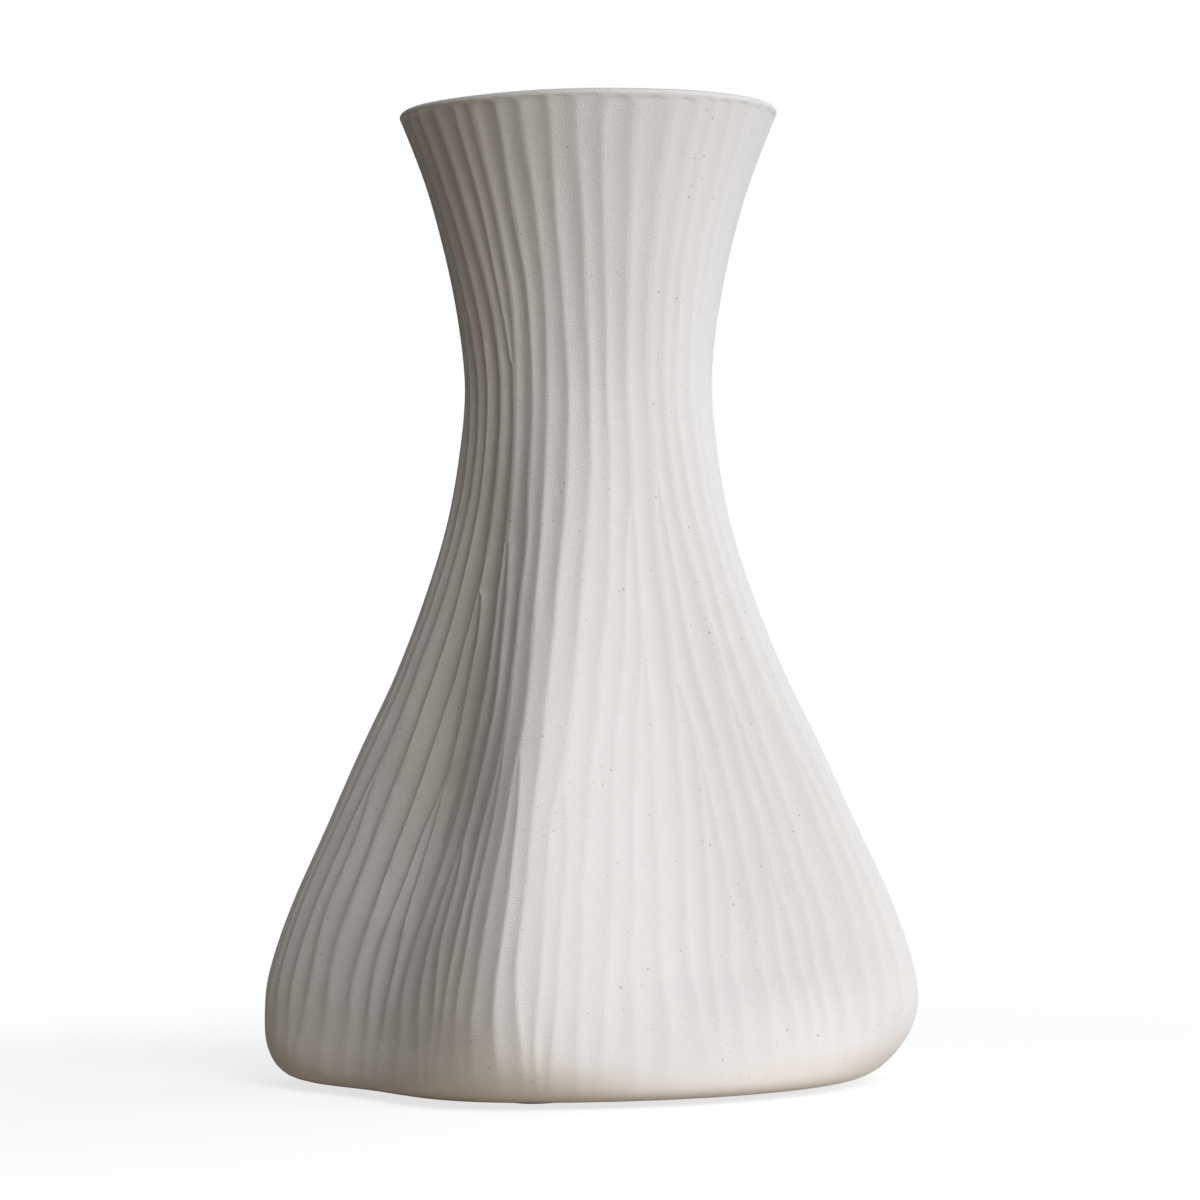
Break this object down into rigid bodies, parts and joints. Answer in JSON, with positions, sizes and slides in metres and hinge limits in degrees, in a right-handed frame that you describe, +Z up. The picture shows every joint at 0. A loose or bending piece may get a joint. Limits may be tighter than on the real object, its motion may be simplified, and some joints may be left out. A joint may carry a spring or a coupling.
{
  "type": "ribbed ceramic vase",
  "caption": "Tall hand-carved ceramic vase with forking vertical flutes, a round flared mouth, a round waist and a soft square base.",
  "frame": {"origin": "on the table, under the middle of the base", "axes": "+Z up along the vase; the square base has its sides across X and Y, and -Y is the flat side that faces right in the picture"},
  "size_m": [0.137, 0.1549, 0.25],
  "materials": {
    "bare_clay": "matte, sandy, unglazed",
    "liner_glaze": "glossy clear liner glaze",
    "pad_felt": "pressed wool felt"
  },
  "bodies": {
    "root": {"carved_wall": "bare_clay", "rim_coil": "bare_clay", "floor_slab": "bare_clay", "glaze_lining": "liner_glaze", "foot_pad_1": "pad_felt", "foot_pad_2": "pad_felt", "foot_pad_3": "pad_felt", "foot_pad_4": "pad_felt"}
  },
  "joints": []
}
